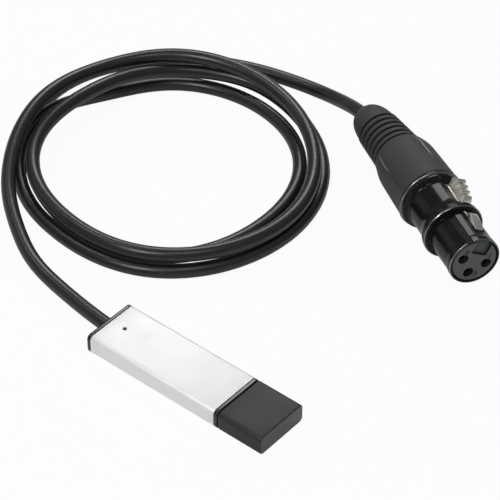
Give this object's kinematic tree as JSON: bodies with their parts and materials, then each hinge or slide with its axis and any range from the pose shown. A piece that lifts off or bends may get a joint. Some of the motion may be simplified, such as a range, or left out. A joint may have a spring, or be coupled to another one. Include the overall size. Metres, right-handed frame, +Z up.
{
  "type": "usb dmx interface",
  "caption": "USB dongle in a flat aluminium sleeve with a pull-off plug cap, a coiled black cable and a female XLR cable connector with a push latch.",
  "frame": {"origin": "on the surface that the object lies on, under the middle of the dongle with its cap on", "axes": "+X along the dongle, the way its USB plug points; +Y across it, towards the coil; +Z up"},
  "size_m": [0.1608, 0.1351, 0.0225],
  "materials": {
    "aluminium": "satin, drawn along its length",
    "gloss_black": "gloss",
    "cap_black": "semi-gloss",
    "plug_steel": "bright nickel plate",
    "white_plastic": "matte",
    "contact": "gold plate",
    "board": "satin solder mask",
    "chip": "matte epoxy",
    "ceramic": "matte",
    "lamp": "clear lens",
    "cable": "satin flexible jacket",
    "boot_rubber": "matte",
    "shell_black": "gloss black",
    "insert_plastic": "fine matte",
    "latch_silver": "worn bright plate",
    "spring_steel": "plain",
    "core_1": "satin",
    "core_2": "satin",
    "core_3": "satin"
  },
  "bodies": {
    "dongle_cable_and_shell": {"case_sleeve": "aluminium", "rear_end_cap": "gloss_black", "front_collar": "gloss_black", "usb_plug_shell": "plug_steel", "usb_tongue": "white_plastic", "circuit_board": "board", "usb_bridge_chip": "chip", "line_driver_chip": "chip", "crystal": "plug_steel", "status_led": "lamp", "cable_lead_dongle": "cable", "cable_coil": "cable", "cable_lead_xlr": "cable", "xlr_boot": "boot_rubber", "xlr_shell": "shell_black", "xlr_insert": "insert_plastic", "latch_spring": "spring_steel", "cable_chuck": "white_plastic", "usb_contact_1": "contact", "usb_contact_2": "contact", "usb_contact_3": "contact", "usb_contact_4": "contact", "capacitor_1": "ceramic", "resistor_1": "chip", "board_wire_1": "core_1", "xlr_wire_1": "core_1", "xlr_socket_1": "contact", "capacitor_2": "ceramic", "resistor_2": "chip", "board_wire_2": "core_2", "xlr_wire_2": "core_2", "xlr_socket_2": "contact", "capacitor_3": "ceramic", "resistor_3": "chip", "board_wire_3": "core_3", "xlr_wire_3": "core_3", "xlr_socket_3": "contact"},
    "cap": {"usb_cap": "cap_black"},
    "latch": {"latch_lever": "latch_silver"}
  },
  "joints": [
    {"name": "cap_slide", "type": "slide", "parent": "dongle_cable_and_shell", "child": "cap", "axis": [1, 0, 0], "range_m": [0, 0.02]},
    {"name": "latch_press", "type": "hinge", "parent": "dongle_cable_and_shell", "child": "latch", "pos_m": [0.01377, 0.09746, 0.01691], "axis": [0.425, 0.7876, -0.4462], "range_deg": [0, 2.4], "stiffness_Nm_per_rad": 0.3, "springref_deg": -1.72}
  ]
}
